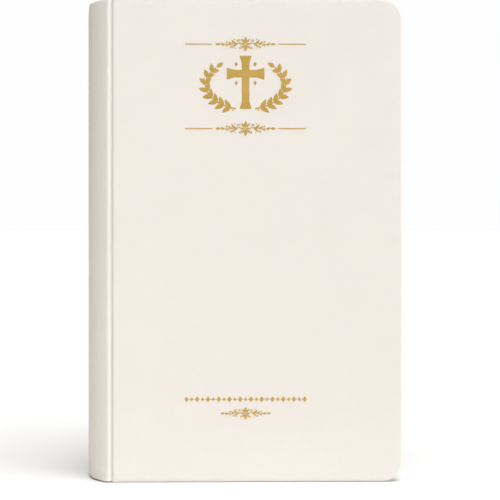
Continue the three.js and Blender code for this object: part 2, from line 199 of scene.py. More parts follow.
def slab(name, sheet, front, back, materials, layers=(), mirror=False, sharp=50):
    """A closed solid on a sheet: its front and back surfaces and the rim between them, through
    the rings of points that layers give. Where there are two materials, the first is the rim's.
    mirror makes the back cover's copy."""
    u, z, d, nu, nz = sheet.columns()
    count = len(u)
    edges = [(f[i], f[(i + 1) % len(f)]) for f in sheet.faces for i in range(len(f))]
    uses = Counter(tuple(sorted(e)) for e in edges)
    rim_edges = [e for e in edges if uses[tuple(sorted(e))] == 1]
    rim = sorted({a for a, _ in rim_edges})
    points = [front(u, z, d), back(u, z, d)]
    points += [layer(u[rim], z[rim], d[rim], nu[rim], nz[rim]) for layer in layers]
    flat = np.column_stack([u, z])
    uv = np.vstack([flat, flat] + [flat[rim]] * len(layers))
    levels = [{v: v for v in rim}]
    for k in range(len(layers)):
        start = 2 * count + k * len(rim)
        levels.append({v: start + i for i, v in enumerate(rim)})
    levels.append({v: v + count for v in rim})
    faces = [list(f) for f in sheet.faces] + [[v + count for v in reversed(f)] for f in sheet.faces]
    surfaces = len(faces)
    for near, far in zip(levels, levels[1:]):
        faces += [[near[b], near[a], far[a], far[b]] for a, b in rim_edges]
    points = np.vstack(points)
    if mirror:
        points = points * [1, -1, 1]
        faces = [f[::-1] for f in faces]
    material_of = None
    if len(materials) > 1:
        material_of = [1] * surfaces + [0] * (len(faces) - surfaces)
    return add_mesh(name, points, faces, materials, uv, material_of, sharp)


def stack_points(x, y, z):
    """Rows of X, Y and Z from columns or single values."""
    return np.column_stack(np.broadcast_arrays(x, y, z))


# Materials

class Look:
    """A Principled material built from nodes."""

    def __init__(self, name, **values):
        self.material = bpy.data.materials.new(name)
        self.material.use_nodes = True
        self.tree = self.material.node_tree
        self.bsdf = self.tree.nodes["Principled BSDF"]
        self.set(**values)

    def set(self, **values):
        for key, value in values.items():
            self.feed(self.bsdf.inputs[key.replace("_", " ")], value)

    def feed(self, socket, value):
        """A socket takes another node's output, a colour or a number."""
        if isinstance(value, bpy.types.NodeSocket):
            self.tree.links.new(value, socket)
        elif socket.type == "RGBA" and len(value) == 3:
            socket.default_value = (*value, 1)
        else:
            socket.default_value = value

    def node(self, kind, inputs, output=0, **settings):
        made = self.tree.nodes.new("ShaderNode" + kind)
        for key, value in settings.items():
            setattr(made, key, value)
        for key, value in inputs.items():
            self.feed(made.inputs[key], value)
        return made.outputs[output]

    def where(self, stretch=(1, 1, 1)):
        """A place in the book's frame."""
        place = self.node("TexCoord", {}, "Object")
        return self.node("VectorMath", {0: place, 1: stretch}, operation="MULTIPLY")

    def flat(self, stretch=(1, 1, 1)):
        """A place on the sheet before it was bent, which stays put when a joint moves."""
        place = self.node("TexCoord", {}, "UV")
        return self.node("VectorMath", {0: place, 1: stretch}, operation="MULTIPLY")

    def noise(self, vector, size, detail=2, roughness=0.5):
        """size is the pattern's grain in millimetres."""
        return self.node(
            "TexNoise",
            {"Vector": vector, "Scale": 1 / (size * MM), "Detail": detail, "Roughness": roughness})

    def cells(self, vector, size, feature="F1"):
        return self.node(
            "TexVoronoi", {"Vector": vector, "Scale": 1 / (size * MM)}, "Distance", feature=feature)

    def axis(self, vector, name):
        return self.node("SeparateXYZ", {"Vector": vector}, name)

    def math(self, operation, a, b=0.0):
        return self.node("Math", {0: a, 1: b}, operation=operation)

    def wave(self, vector, pitches):
        """A sine wave with a pitch in millimetres along each axis, or 0 where it doesn't change."""
        stretch = tuple(math.tau / (pitch * MM) if pitch else 0 for pitch in pitches)
        along = self.node("VectorMath", {0: vector, 1: stretch}, "Value", operation="DOT_PRODUCT")
        return self.math("SINE", along)

    def span(self, value, low, high, from_low=0.3, from_high=0.7):
        """value as a number between low and high, from the middle of a noise's range."""
        ends = {"From Min": from_low, "From Max": from_high, "To Min": low, "To Max": high}
        return self.node("MapRange", {"Value": value, **ends})

    def mix(self, factor, a, b):
        made = self.tree.nodes.new("ShaderNodeMix")
        made.data_type = "RGBA"
        for key, value in (("Factor_Float", factor), ("A_Color", a), ("B_Color", b)):
            self.feed(next(s for s in made.inputs if s.identifier == key), value)
        return next(s for s in made.outputs if s.identifier == "Result_Color")

    def bump(self, height, depth, normal=None):
        """depth is in millimetres."""
        inputs = {"Height": height, "Distance": depth * MM, "Strength": 1.0}
        if normal is not None:
            inputs["Normal"] = normal
        return self.node("Bump", inputs)


def leather_look(groove):
    """groove is where the groove lies in the joint along the UV map's U, in millimetres. Painted
    shade darkens the leather's colour along it.
    """
    # painted shade in the groove: how strongly the colour darkens, and the distances from the
    # groove's bottom over which it fades out
    groove_shade_strength, groove_shade_core, groove_shade_reach = 0.32, 0.3, 1.9
    look = Look("ivory_leather", Specular_IOR_Level=0.32, Sheen_Weight=0.04, Sheen_Roughness=0.5)
    place = look.where()
    cloud = look.noise(place, 26, 3, 0.55)
    fleck = look.noise(place, 2.2, 3, 0.6)
    tone = look.mix(look.span(cloud, 0, 1), (0.80, 0.756, 0.703), (0.82, 0.776, 0.721))
    tone = look.mix(look.span(fleck, 0, 0.35), tone, (0.785, 0.739, 0.683))
    # Painted shade: the colour darkens towards the groove's bottom, where shade falls in the joint.
    aside = look.node("VectorMath", {0: look.flat(), 1: (groove * MM, 0, 0)}, operation="SUBTRACT")
    aside = look.math("ABSOLUTE", look.axis(aside, "X"))
    groove_shade = look.span(aside, groove_shade_strength, 0, groove_shade_core * MM, groove_shade_reach * MM)
    tone = look.mix(groove_shade, tone, (0.60, 0.54, 0.475))
    grain = look.cells(place, 0.42, "SMOOTH_F1")
    fine = look.noise(place, 0.16, 2)
    surface = look.bump(grain, 0.022)
    surface = look.bump(fine, 0.008, surface)
    surface = look.bump(look.noise(place, 9, 2), 0.05, surface)
    look.set(Base_Color=tone, Roughness=look.span(fleck, 0.5, 0.6), Normal=surface)
    return look.material


def foil_look():
    look = Look("gold_foil", Metallic=0.85, Specular_IOR_Level=0.5)
    place = look.where()
    cloud = look.noise(place, 9, 3, 0.6)
    fleck = look.noise(place, 0.5, 2)
    tone = look.mix(look.span(cloud, 0, 1), (0.65, 0.42, 0.090), (0.75, 0.51, 0.145))
    tone = look.mix(look.span(fleck, 0, 0.25), tone, (0.50, 0.30, 0.07))
    surface = look.bump(look.cells(place, 0.42, "SMOOTH_F1"), 0.02)
    look.set(Base_Color=tone, Roughness=look.span(fleck, 0.34, 0.5), Normal=surface)
    return look.material


def paper_edge_look():
    """The cut edges of thin leaves: fine lines that run with the leaves."""
    look = Look("page_edges", Specular_IOR_Level=0.2)
    lines = look.noise(look.where((0.02, 1, 0.02)), 0.055, 2, 0.7)
    groups = look.noise(look.where((0.02, 1, 0.02)), 0.3, 2)
    cloud = look.noise(look.where(), 18, 2)
    tone = look.mix(look.span(lines, 0, 1), (0.74, 0.69, 0.60), (0.90, 0.865, 0.79))
    tone = look.mix(look.span(groups, 0, 0.4), tone, (0.78, 0.72, 0.62))
    tone = look.mix(look.span(cloud, 0, 0.25), tone, (0.86, 0.81, 0.72))
    surface = look.bump(lines, 0.03)
    look.set(Base_Color=tone, Roughness=0.82, Normal=surface)
    return look.material


def printed_lines(look):
    """Where a page has print: two columns of grey bars, broken up as words are, with no letters.
    column is from the page's middle to a column's middle."""
    middle, column, half_width, half_height = 8, 27, 25, 91
    pitch, word, fade = 2.9, 1.9, 0.2
    place, height = (look.axis(look.flat(), name) for name in "XY")
    aside = look.math("ABSOLUTE", look.math("SUBTRACT", place, middle * MM))
    aside = look.math("ABSOLUTE", look.math("SUBTRACT", aside, column * MM))
    level = look.math("ABSOLUTE", look.math("SUBTRACT", height, HEIGHT / 2 * MM))
    rows = look.math("SINE", look.math("MULTIPLY", height, math.tau / (pitch * MM)))
    words = look.noise(look.flat((1, 5, 1)), word, 1)
    print_here = look.span(rows, 0, 1, 0.2, 0.5)
    masks = [
        look.span(aside, 1, 0, (half_width - fade) * MM, half_width * MM),
        look.span(level, 1, 0, (half_height - fade) * MM, half_height * MM),
        look.span(words, 0, 1, 0.36, 0.44),
    ]
    for mask in masks:
        print_here = look.math("MULTIPLY", print_here, mask)
    return print_here


def paper_look(name, light, dark, fibre, printed=False):
    """fibre is the size of the paper's fibres in millimetres."""
    ink, ink_strength = (0.2, 0.18, 0.16), 0.4
    look = Look(name, Specular_IOR_Level=0.2)
    place = look.flat()
    fibres = look.noise(look.flat((1, 0.35, 1)), fibre, 4, 0.65)
    cloud = look.noise(place, 22, 2)
    tone = look.mix(look.span(fibres, 0, 1), dark, light)
    tone = look.mix(look.span(cloud, 0, 0.5), tone, dark)
    if printed:
        tone = look.mix(look.math("MULTIPLY", printed_lines(look), ink_strength), tone, ink)
    surface = look.bump(fibres, 0.015)
    look.set(Base_Color=tone, Roughness=look.span(fibres, 0.78, 0.88), Normal=surface)
    return look.material


def board_look():
    look = Look("grey_board", Roughness=0.9, Specular_IOR_Level=0.2)
    place = look.where()
    fibres = look.noise(place, 0.9, 4, 0.7)
    specks = look.cells(place, 1.6)
    tone = look.mix(look.span(fibres, 0, 1), (0.25, 0.22, 0.18), (0.40, 0.36, 0.30))
    tone = look.mix(look.span(specks, 0, 0.3, 0.1, 0.6), tone, (0.50, 0.46, 0.40))
    look.set(Base_Color=tone, Normal=look.bump(fibres, 0.06))
    return look.material


def kraft_look():
    look = Look("kraft_paper", Roughness=0.85, Specular_IOR_Level=0.2)
    fibres = look.noise(look.where((1, 1, 0.3)), 0.8, 4, 0.7)
    tone = look.mix(look.span(fibres, 0, 1), (0.34, 0.22, 0.11), (0.50, 0.34, 0.19))
    look.set(Base_Color=tone, Normal=look.bump(fibres, 0.03))
    return look.material


def weave_look(name, light, dark, pitch, axes):
    """Cloth with threads across two of the frame's axes, pitch millimetres apart."""
    look = Look(name, Roughness=0.92, Specular_IOR_Level=0.15)
    waves = []
    for axis in axes:
        pitches = [pitch if i == axis else 0 for i in range(3)]
        waves.append(look.wave(look.node("TexCoord", {}, "Object"), pitches))
    height = look.math("MAXIMUM", *waves)
    tone = look.mix(look.span(height, 0, 1, -0.4, 0.9), dark, light)
    look.set(Base_Color=tone, Normal=look.bump(height, 0.08 * pitch))
    return look.material


def band_look():
    """A headband: coloured threads wound over a cord, seen as slanting stripes."""
    look = Look("headband_threads", Roughness=0.55, Specular_IOR_Level=0.35, Sheen_Weight=0.2)
    place = look.node("TexCoord", {}, "UV")
    stripes = look.wave(place, (2.4, 9, 0))
    threads = look.wave(place, (0.4, 1.5, 0))
    tone = look.mix(look.span(stripes, 0, 1, -0.12, 0.12), (0.86, 0.82, 0.72), (0.62, 0.44, 0.15))
    look.set(Base_Color=tone, Normal=look.bump(threads, 0.04))
    return look.material


def floor_look():
    """White as the camera sees it, and a little darker and warmer for the light that it returns."""
    look = Look("white_floor", Specular_IOR_Level=0.1, Roughness=0.9)
    cloud = look.noise(look.where(), 400, 2)
    seen = look.mix(look.span(cloud, 0, 1), (0.79, 0.79, 0.79), (0.80, 0.80, 0.80))
    from_camera = look.node("LightPath", {}, "Is Camera Ray")
    look.set(Base_Color=look.mix(from_camera, (0.70, 0.685, 0.66), seen))
    return look.material


FOIL = foil_look()
PAGE_EDGES = paper_edge_look()
PAGE = paper_look("thin_paper", (0.86, 0.82, 0.735), (0.80, 0.755, 0.66), 0.9, printed=True)
ENDPAPER = paper_look("endpaper", (0.88, 0.84, 0.76), (0.83, 0.785, 0.70), 1.6)
BOARD = board_look()
KRAFT = kraft_look()
GAUZE = weave_look("mull_gauze", (0.80, 0.76, 0.66), (0.42, 0.39, 0.33), 1.0, (1, 2))
THREAD = weave_look("linen_thread", (0.88, 0.85, 0.76), (0.60, 0.56, 0.47), 0.45, (1, 2))
BAND = band_look()


# Leather: the covers with their joints, and the round spine between them

RIM_ANGLES = np.radians([0, 15, 30, 45, 60, 75, 90])
TAIL_RIM, HEAD_RIM = 1.2, 0.7  # a cover's edge is rounder at its tail, which it stands on
INNER_RIM = 0.8
RIM_SHARE, INNER_RIM_SHARE = 0.48, 0.46  # the most of the thickness that a round takes up
FACE_DROP, FACE_DROP_WIDTH = 0.1, 5  # how far a cover's face falls off towards its rim
SPINE_RIM = 0.8
SPINE_INNER_RIM = 0.5
SPINE_RIM_SHARE = 0.54
SPINE_DROP, SPINE_DROP_WIDTH = 0.45, 6
SPINE_TURN_IN = 0.95  # how much thicker the spine's leather is where it is turned in
SPINE_TURN_IN_END = (12.5, 14)  # from the spine's end
SPINE_TURN_IN_SIDE = math.radians(62)
SPINE_RIM_FADE = math.radians(26)  # the rim is finer this near to the seam with a cover
GROOVE_DEPTH = 0.5
GROOVE_START, GROOVE_BOTTOM, GROOVE_END = 0.0, 0.5, 0.84  # as shares of the joint's width
END_LIFT = 0.4  # how much shorter the spine's ends are than the covers


def rim_drop(d, rho):
    """How far a surface has turned down at a distance d inside its rim, on a round of radius
    rho."""
    reach = np.clip(rho - d, 0, rho)
    return rho - np.sqrt(np.maximum(rho**2 - reach**2, 0))


def ring_radii(radius, rim, extra):
    """Distances from a corner's centre: those of points that are extra inside the rim, and close
    steps over the rim's round."""
    close = [rim * (1 - math.sin(a)) for a in RIM_ANGLES]
    return sorted({0.0, *[radius - e for e in extra], *[radius - c for c in close]})


def groove_depth(t):
    """t is a share of the joint's width."""
    down = np.clip((t - GROOVE_START) / (GROOVE_BOTTOM - GROOVE_START), 0, 1)
    up = np.clip((GROOVE_END - t) / (GROOVE_END - GROOVE_BOTTOM), 0, 1)
    return GROOVE_DEPTH * (0.5 - 0.5 * math.cos(math.pi * min(down, up)))


def joint_profile():
    """The front cover's skin from its seam with the spine to its face, in X and Y: the outside
    and the inside of the leather, and how much shorter it is at each end."""
    board_start, level_start = 0.72, 0.55  # as shares of the joint's width
    board_setback = 0.55
    extra_lift = 0.05
    steps = 22
    outer, inner, lift = [], [], []
    for angle in np.linspace(SEAM_ANGLE - math.pi, -math.pi / 2, 7):
        c, s = math.cos(angle), math.sin(angle)
        outer.append((RIDGE_X + RIDGE_RADIUS * c, RIDGE_Y + RIDGE_RADIUS * s))
        inner.append((RIDGE_X + (RIDGE_RADIUS - SKIN) * c, RIDGE_Y + (RIDGE_RADIUS - SKIN) * s))
        lift.append(END_LIFT)
    for i in range(1, steps + 1):
        t = i / steps
        x = RIDGE_X + t * JOINT_WIDTH
        y = FRONT_Y + groove_depth(t)
        outer.append((x, y))
        thick = SKIN + (INNER_Y - FRONT_Y - SKIN) * smoothstep(board_start, 1, t)
        inner.append((min(x, COVER_X - board_setback + board_setback * t**9), y + thick))
        level = 1 - smoothstep(level_start, 1, t)
        lift.append(END_LIFT * level + extra_lift * math.sin(math.pi * t))
    outer, inner = np.array(outer), np.array(inner)
    lengths = np.hypot(*np.diff(outer, axis=0).T)
    u = COVER_X - np.concatenate([np.cumsum(lengths[::-1])[::-1], [0]])
    return u, outer, inner, np.array(lift)


JOINT_U, JOINT_OUTER, JOINT_INNER, JOINT_LIFT = joint_profile()
GROOVE_X = RIDGE_X + GROOVE_BOTTOM * JOINT_WIDTH
LEATHER = leather_look(np.interp(GROOVE_X, JOINT_OUTER[:, 0], JOINT_U))


def shortened(z, lift):
    """Heights drawn in towards the middle, so that the ends come in by lift."""
    middle = HEIGHT / 2
    return middle + (z - middle) * (1 - lift / middle)


def cover_surface(u, z, d, inside):
    """A point of the front cover's leather: its outside, or its inside, where it is turned in."""
    in_joint = u < COVER_X
    flat_x = np.maximum(u, COVER_X)
    flat = (flat_x, FRONT_Y, flat_x, INNER_Y)
    bent = [np.interp(u, JOINT_U, column) for column in (*JOINT_OUTER.T, *JOINT_INNER.T)]
    columns = [np.where(in_joint, b, f) for b, f in zip(bent, flat)]
    outer, inner = np.column_stack(columns[:2]), np.column_stack(columns[2:])
    through = inner - outer
    thick = np.hypot(*through.T)
    through = through / thick[:, None]
    lift = np.where(in_joint, np.interp(u, JOINT_U, JOINT_LIFT), 0)
    if inside:
        start, way = inner, -through
        drop = rim_drop(d, np.minimum(INNER_RIM, INNER_RIM_SHARE * thick))
    else:
        start, way = outer, through
        rim = np.interp(z, [0, 2 * CORNER_RADIUS], [TAIL_RIM, HEAD_RIM])
        drop = rim_drop(d, np.minimum(rim, RIM_SHARE * thick))
        on_face = smoothstep(COVER_X - 0.5, COVER_X + 4, u)
        drop = drop + FACE_DROP * np.clip(1 - d / FACE_DROP_WIDTH, 0, 1) ** 2 * on_face
    at = start + way * drop[:, None]
    return stack_points(at[:, 0], at[:, 1], shortened(z, lift))


def cover_leather(side, mirror):
    """One skin from the seam with the spine to the fore-edge, which bends in the joint."""
    corner_x = FORE_X - CORNER_RADIUS
    near_joint = [COVER_X + s for s in (0.5, 1.5, 4, 9)]
    us = np.concatenate([JOINT_U, near_joint, np.arange(-40, corner_x, 12), [corner_x]])
    zs = np.linspace(CORNER_RADIUS, HEIGHT - CORNER_RADIUS, 19)
    rings = ring_radii(CORNER_RADIUS, TAIL_RIM, (7.5, 5, 3.5, 2))
    cover = slab(
        f"{side}_cover_leather", rounded_sheet(us, zs, CORNER_RADIUS, rings, 10),
        lambda u, z, d: cover_surface(u, z, d, False),
        lambda u, z, d: cover_surface(u, z, d, True), [LEATHER], mirror=mirror)
    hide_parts(f"{side}_cover_skin")
    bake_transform(cover)


def spine_surface(v, z, d, inside):
    """A point of the spine's leather at an angle v from -X towards the front cover. At the head
    and the tail it is turned in over the inlay, so it is thicker there."""
    aside = np.abs(v)
    fade = 1 - smoothstep(SEAM_ANGLE - SPINE_RIM_FADE, SEAM_ANGLE, aside)
    turned = 1 - smoothstep(*SPINE_TURN_IN_END, d)
    turned = turned * (1 - smoothstep(SPINE_TURN_IN_SIDE, SEAM_ANGLE, aside))
    thick = SKIN + SPINE_TURN_IN * turned
    if inside:
        rho = np.minimum(SPINE_INNER_RIM, INNER_RIM_SHARE * thick)
        radius = SPINE_RADIUS - thick + rim_drop(d, rho)
    else:
        rho = SPINE_RIM * fade + RIM_SHARE * SKIN * (1 - fade)
        radius = SPINE_RADIUS - rim_drop(d, np.minimum(rho, SPINE_RIM_SHARE * thick))
        radius = radius - SPINE_DROP * fade * np.clip(1 - d / SPINE_DROP_WIDTH, 0, 1) ** 2
    return stack_points(
        SPINE_X - radius * np.cos(v), -radius * np.sin(v), shortened(z, END_LIFT))


def spine_leather():
    ends = [TAIL_RIM * (1 - math.sin(a)) for a in RIM_ANGLES[::-1]]
    ends += [2, 3, 4.5, 6, 8, 10.5, 12.5, 13.2, 14]
    zs = [*ends, *np.linspace(24, HEIGHT - 24, 15), *[HEIGHT - e for e in ends[::-1]]]
    vs = SEAM_ANGLE * np.sin(np.linspace(-1, 1, 57) * math.pi / 2)
    spine = slab(
        "spine_leather", plain_sheet(vs, zs),
        lambda v, z, d: spine_surface(v, z, d, False),
        lambda v, z, d: spine_surface(v, z, d, True), [LEATHER])
    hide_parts("spine_cover_skin")
    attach(spine, "root")


# Endpapers: the half that is glued to the board, with the strip that crosses the joint

ENDPAPER_HALF = 0.05
FOLD_X = -61.9  # the fold between the glued half and the free half
SINK, SINK_WIDTH = 0.06, 1.2


def endpaper_profile():
    """The strip's middle line from the flyleaf's fold to the board, in X and Y."""
    way = [(-1.3, 3.5), (-0.7, 2.9), (0, 2.4), (0.6, 2.05), (1.1, 1.9), (1.6, 1.88), (2.05, 2.05),
           (2.4, 2.5), (2.65, 2.95), (3.0, 3.15), (3.6, 3.2), (4.6, 3.22)]
    return np.array([(RIDGE_X + x, FRONT_Y + y) for x, y in way])


def endpaper(side, mirror):
    """U runs along the strip, and is X from where the strip has reached the board."""
    way = endpaper_profile()
    lengths = np.hypot(*np.diff(way, axis=0).T)
    way_u = way[-1, 0] - np.concatenate([np.cumsum(lengths[::-1])[::-1], [0]])
    slope = np.gradient(way, axis=0)
    slope /= np.hypot(*slope.T)[:, None]
    window_x, window_low, window_high = (
        FORE_X - TURN_IN_WIDTH, TURN_IN_WIDTH, HEIGHT - TURN_IN_WIDTH)

    def surface(u, z, facing):
        """facing is -1 for the face on the board, and 1 for the face that shows, which sinks a
        little inside the frame of turned-in leather."""
        x = np.where(u < way[-1, 0], np.interp(u, way_u, way[:, 0]), u)
        y = np.where(u < way[-1, 0], np.interp(u, way_u, way[:, 1]), way[-1, 1])
        along_x = np.interp(u, way_u, slope[:, 0], right=1)
        along_y = np.interp(u, way_u, slope[:, 1], right=0)
        if facing > 0:
            sunk = smoothstep(0, SINK_WIDTH, window_x - x)
            sunk = sunk * smoothstep(0, SINK_WIDTH, z - window_low)
            sunk = sunk * smoothstep(0, SINK_WIDTH, window_high - z)
            sunk = sunk * smoothstep(0, 6, x - COVER_X - 6)
            y = y - SINK * sunk
        half = facing * ENDPAPER_HALF
        return stack_points(x - along_y * half, y + along_x * half, z)

    low, high = PASTE_LO[2] + PASTE_RADIUS, PASTE_HI[2] - PASTE_RADIUS
    at_window = [window_x - s for s in (1.4, 0.9, 0.3, -0.2)]
    corner_x = PASTE_HI[0] - PASTE_RADIUS
    us = np.concatenate([way_u, [-54, -50, -44, -30, 0, 30, 50], at_window, [corner_x]])
    ends = [0, 1.6, 2.8, 3.4, 3.9, 4.5, 6]
    zs = [low + s for s in ends] + [60, HEIGHT / 2, HEIGHT - 60] + [high - s for s in ends[::-1]]
    sheet = rounded_sheet(us, zs, PASTE_RADIUS, [0, 3, PASTE_RADIUS])
    paper = slab(
        f"{side}_pasted_endpaper", sheet,
        lambda u, z, d: surface(u, z, -1), lambda u, z, d: surface(u, z, 1),
        [ENDPAPER], mirror=mirror)
    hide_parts(f"{side}_pastedown")
    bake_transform(paper)


# Leaves

LAYERS = 8  # in a signature
LAYER_START, LAYER_END = 0.04, 0.96  # as shares of a layer's room
EDGE_IN, EDGE_OUT = -0.045, 0.015  # how far the cut edges stray
OUTER_LAYER_SETBACK = 0.03
FOLD_ROUND = 0.4  # how far the edges of a fold are in from its middle
# Columns of points across a leaf, closer together in the gutter
LEAF_STEPS = [-57.4, -56.6, -55.6, -54.4, -53, -51.5, -50, -48.5, -47, -45.5, -44, -42.5, -41, -36,
              -20, 10, 40]


def spine_at(y):
    """X of the block's round back at a depth y."""
    return SPINE_X - np.sqrt(BLOCK_RADIUS**2 - np.asarray(y, float) ** 2)


def leaf_stack(name, y0, y1, layers, materials, fold=None, left=None, mirror=False):
    """Leaves between two depths, as thin layers whose cut edges don't quite line up. fold is the
    depths of the signature that they belong to, whose back is round; or else left is where they
    start."""
    bottom, top = LEAVES_LO[2], LEAVES_HI[2]
    fore = LEAVES_HI[0]
    start = left if left is not None else spine_at(BLOCK_Y)
    us = [start, *[s for s in LEAF_STEPS if s > start + 1], fore - LEAF_RADIUS]
    zs = np.linspace(bottom + LEAF_RADIUS, top - LEAF_RADIUS, 4)
    sheet = rounded_sheet(us, zs, LEAF_RADIUS, [0, LEAF_RADIUS])

    def place(u, y, out=0.0, nu=0.0):
        if left is None:
            back = spine_at(y)
            share = (np.asarray(y) - fold[0]) / (fold[1] - fold[0])
            back = back + FOLD_ROUND * np.abs(2 * share - 1) ** 3
        else:
            back = left
        edge = spine_at(y) + LEAF_WIDTH
        return back + (u - start) * (edge - back) / (fore - start) + out * nu

    def face(y):
        return lambda u, z, d: stack_points(place(u, y), y, z)

    def ring(y, out):
        return lambda u, z, d, nu, nz: stack_points(place(u, y, out, nu), y, z + out * nz)

    rings = []
    for k in range(layers):
        low, high = (y0 + (y1 - y0) * (k + s) / layers for s in (LAYER_START, LAYER_END))
        out = rng.uniform(EDGE_IN, EDGE_OUT)
        if layers > 4 and k in (0, layers - 1):
            out -= OUTER_LAYER_SETBACK
        rings += [ring(low, out), ring(high, out)]
    return slab(name, sheet, face(y0), face(y1), materials, rings, mirror=mirror, sharp=30)


def book_block():
    """The signatures that stay in the spine, between those whose leaves turn."""
    opened_front = round(sum(FRONT_SHARES))
    opened_back = round(sum(BACK_SHARES))
    for i in range(opened_front, SIGNATURES - opened_back):
        y = BLOCK_Y + i * SIGNATURE
        end = y + SIGNATURE
        section = leaf_stack(
            f"section_{i + 1:02d}", y, end - BUNDLE_GAP, LAYERS, [PAGE_EDGES, PAGE], (y, end))
        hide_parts(f"signature_{i + 1:02d}")
        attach(section, "root")


def turn_with(leaves):
    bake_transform(leaves)


def turning_leaves(side, shares, mirror):
    """The bundles that open with one cover. The first in a signature stands for its fold too."""
    tiny = 1e-6
    y = BLOCK_Y
    for i, share in enumerate(shares):
        following = y + share * SIGNATURE
        number = int((y - BLOCK_Y) / SIGNATURE + tiny)
        fold = [BLOCK_Y + (number + s) * SIGNATURE for s in (0, 1)]
        leaves = leaf_stack(
            f"{side}_turning_{i + 1}", y, following - BUNDLE_GAP, max(3, round(LAYERS * share)),
            [PAGE_EDGES, PAGE], fold, mirror=mirror)
        body = f"{side}_leaves_{i + 1}"
        held = []
        if abs(y - fold[0]) < tiny:
            place = number if side == "front" else SIGNATURES - 1 - number
            held = [f"signature_{place + 1:02d}_fold"]
        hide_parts(body, *held)
        turn_with(leaves)
        y = following
    flyleaf = leaf_stack(
        f"{side}_free_endpaper", FLY_LO[1], FLY_HI[1], 1, [ENDPAPER], left=FOLD_X, mirror=mirror)
    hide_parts(f"{side}_flyleaf")
    turn_with(flyleaf)


# Headband and tailband: threads wound on a cord, on a cloth tape

BEAD_RISE = 0.75  # from the leaves' ends to the middle of the cord
CORD = 0.74
WOUND_DEPTH = 0.07  # between one turn of thread and the next, as a share of the cord's radius
TAPE_FRONT, TAPE_BACK, TAPE_GAP = 0.02, 0.25, 0.05


def band(name, bead_z, tape_z):
    """bead_z is the height of the cord's middle, and tape_z the heights between which the tape
    runs."""
    radius = SPINE_X - BAND_LEFT
    turns, sides, side_width = 150, 12, 0.4
    points, uv, faces = [], [], []
    for i in range(turns + 1):
        angle = BAND_HALF_ANGLE * (2 * i / turns - 1)
        for j in range(sides):
            around = math.tau * j / sides
            wound = CORD * (1 - WOUND_DEPTH + WOUND_DEPTH * math.cos(math.pi * i))
            r = radius - CORD + wound * math.cos(around)
            points.append((SPINE_X - r * math.cos(angle), -r * math.sin(angle),
                           bead_z + wound * math.sin(around)))
            uv.append((radius * angle, j * side_width))
    for i in range(turns):
        for j in range(sides):
            k = (j + 1) % sides
            a, b = i * sides, (i + 1) * sides
            faces.append([a + j, a + k, b + k, b + j][::-1])
    faces.append(list(range(sides)))
    faces.append([turns * sides + j for j in range(sides)][::-1])
    start = len(points)
    angles = np.linspace(-BAND_HALF_ANGLE, BAND_HALF_ANGLE, 33)
    for r in (radius - TAPE_FRONT, radius - TAPE_BACK):
        for z in tape_z:
            for angle in angles:
                points.append((SPINE_X - r * math.cos(angle), -r * math.sin(angle), z))
                uv.append((radius * angle, z))
    n = len(angles)
    row = [start + k * n for k in range(4)]  # outer low, outer high, inner low, inner high
    for i in range(n - 1):
        for a, b in ((0, 1), (1, 3), (3, 2), (2, 0)):
            faces.append([row[a] + i, row[a] + i + 1, row[b] + i + 1, row[b] + i])
    for i, turn in ((0, 1), (n - 1, -1)):
        faces.append([row[0] + i, row[1] + i, row[3] + i, row[2] + i][::turn])
    made = add_mesh(f"{name}_threads", points, faces, [BAND], uv)
    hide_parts(name)
    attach(made, "root")


# Gold stamping: flat figures in X and Z about their own middle, then thin solids on the cover

PROUD = 0.04  # how far the foil stands out of the leather
FIGURE_STEP = 0.0015
SUNK = 0.02  # how far the foil's back lies in the leather


def leaf_figure(x, z, length, width, angle, bend=0.0):
    """A pointed leaf that starts at (x, z) and runs at an angle. bend is how far its middle is
    off the straight line, as a share of its length."""
    steps = 7
    ts = np.linspace(0, 1, steps + 1)
    half = width / 2 * np.sin(math.pi * ts**0.85) ** 0.9
    across = bend * length * ts * (1 - ts) * 4
    upper = np.column_stack([ts * length, across + half])
    lower = np.column_stack([ts * length, across - half])
    turn = np.array([[math.cos(angle), math.sin(angle)], [-math.sin(angle), math.cos(angle)]])
    points = np.vstack([lower, upper]) @ turn + [x, z]
    n = steps + 1
    faces = [[0, 1, n + 1]] + [[i, i + 1, n + i + 1, n + i] for i in range(1, steps - 1)]
    faces.append([steps - 1, steps, n + steps - 1])
    return points, faces


def line_figure(points, widths):
    """A stroke along points. widths is one width or one for each point."""
    points = np.asarray(points, float)
    widths = np.broadcast_to(widths, len(points))
    along = np.gradient(points, axis=0)
    along /= np.hypot(*along.T)[:, None]
    across = np.column_stack([-along[:, 1], along[:, 0]]) * widths[:, None] / 2
    n = len(points)
    faces = [[i, i + 1, n + i + 1, n + i] for i in range(n - 1)]
    return np.vstack([points - across, points + across]), faces


def disc_figure(x, z, radius, sides=16):
    angles = np.arange(sides) * math.tau / sides
    points = np.column_stack([x + radius * np.cos(angles), z + radius * np.sin(angles)])
    return points, [list(range(sides))]


def polygon_figure(points):
    return np.asarray(points, float), [list(range(len(points)))]


def lozenge_figure(x, z, half_width, half_height):
    return polygon_figure(
        [(x, z - half_height), (x + half_width, z), (x, z + half_height), (x - half_width, z)])


def spiral(x, z, radius, start, sweep, steps=16, close=0.25):
    """Points of a curl that tightens towards its middle (x, z)."""
    ts = np.linspace(0, 1, steps + 1)
    r = radius * (1 - (1 - close) * ts)
    angles = start + sweep * ts
    return np.column_stack([x + r * np.cos(angles), z + r * np.sin(angles)])


def mirrored_figures(figures):
    """The figures and their mirror images about X = 0."""
    made = list(figures)
    for points, faces in figures:
        made.append((points * [-1, 1], [f[::-1] for f in faces]))
    return made


